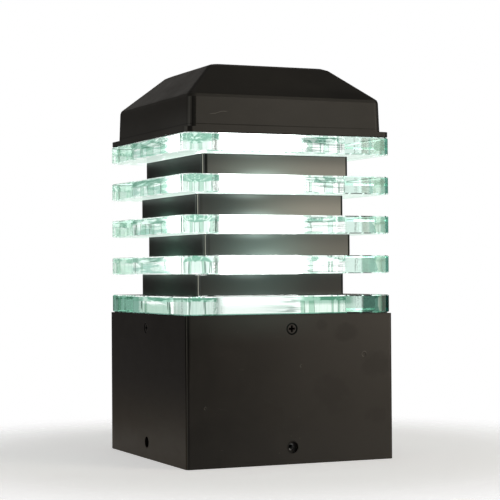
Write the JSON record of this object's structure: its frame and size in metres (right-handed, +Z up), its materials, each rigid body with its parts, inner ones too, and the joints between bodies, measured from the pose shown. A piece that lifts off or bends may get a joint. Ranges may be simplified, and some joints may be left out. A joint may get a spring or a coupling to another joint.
{
  "type": "gate light",
  "caption": "Square post-top gate light: dark steel base, stacked green-edged glass plates parted by dark spacer frames, and a hipped metal cap, lit from inside by a screw-in bulb.",
  "frame": {"origin": "centre of the base's underside", "axes": "+Z up, -Y the front, +X to the right seen from the front"},
  "size_m": [0.15, 0.15, 0.2665],
  "materials": {
    "coated_steel": "satin",
    "coated_casting": "satin",
    "float_glass": "polished",
    "opal_diffuser": "opal, lit from inside",
    "white_plastic": "matte",
    "black_rubber": "matte",
    "zinc_steel": "zinc plated",
    "black_screws": "semi gloss",
    "holder_ceramic": "unglazed",
    "brass_parts": "plain",
    "nickel_cap": "satin",
    "black_glass": "glossy",
    "board_white": "matte",
    "live_insulation": "matte",
    "neutral_insulation": "matte",
    "earth_insulation": "matte"
  },
  "bodies": {
    "bracket": {"mounting_bracket": "coated_steel", "bracket_nuts": "zinc_steel", "cable_grommet": "black_rubber"},
    "housing": {"base_skirt": "coated_steel", "deck_pan": "coated_steel", "side_screws": "black_screws", "deck_gasket": "black_rubber", "glass_plate_1": "float_glass", "glass_plate_2": "float_glass", "glass_plate_3": "float_glass", "glass_plate_4": "float_glass", "glass_plate_5": "float_glass", "spacer_frame_1": "coated_steel", "spacer_frame_2": "coated_steel", "spacer_frame_3": "coated_steel", "spacer_frame_4": "coated_steel", "spacer_gaskets": "black_rubber", "cap_gasket": "black_rubber", "cap": "coated_casting", "clamping_bolts": "zinc_steel", "bolt_washers": "zinc_steel", "holder_bridge": "zinc_steel", "bridge_screws": "zinc_steel", "holder_body": "holder_ceramic", "holder_shell": "brass_parts", "holder_contact": "brass_parts", "holder_screws": "zinc_steel", "terminal_block": "white_plastic", "terminal_barrels": "brass_parts", "terminal_screws": "zinc_steel", "block_screws": "zinc_steel", "live_lead": "live_insulation", "neutral_lead": "neutral_insulation", "earth_lead": "earth_insulation", "earth_lug": "zinc_steel", "earth_screw": "zinc_steel"},
    "bulb": {"bulb_globe": "opal_diffuser", "bulb_body": "white_plastic", "bulb_screw_cap": "nickel_cap", "bulb_insulator": "black_glass", "bulb_tip": "nickel_cap", "led_board": "board_white"}
  },
  "joints": [
    {"name": "housing_lift", "type": "slide", "parent": "bracket", "child": "housing", "axis": [0, 0, 1], "range_m": [0, 0.024]},
    {"name": "bulb_turn", "type": "hinge", "parent": "housing", "child": "bulb", "pos_m": [0, 0, 0.07], "axis": [0, 0, 1], "range_deg": [0, 1800]}
  ]
}
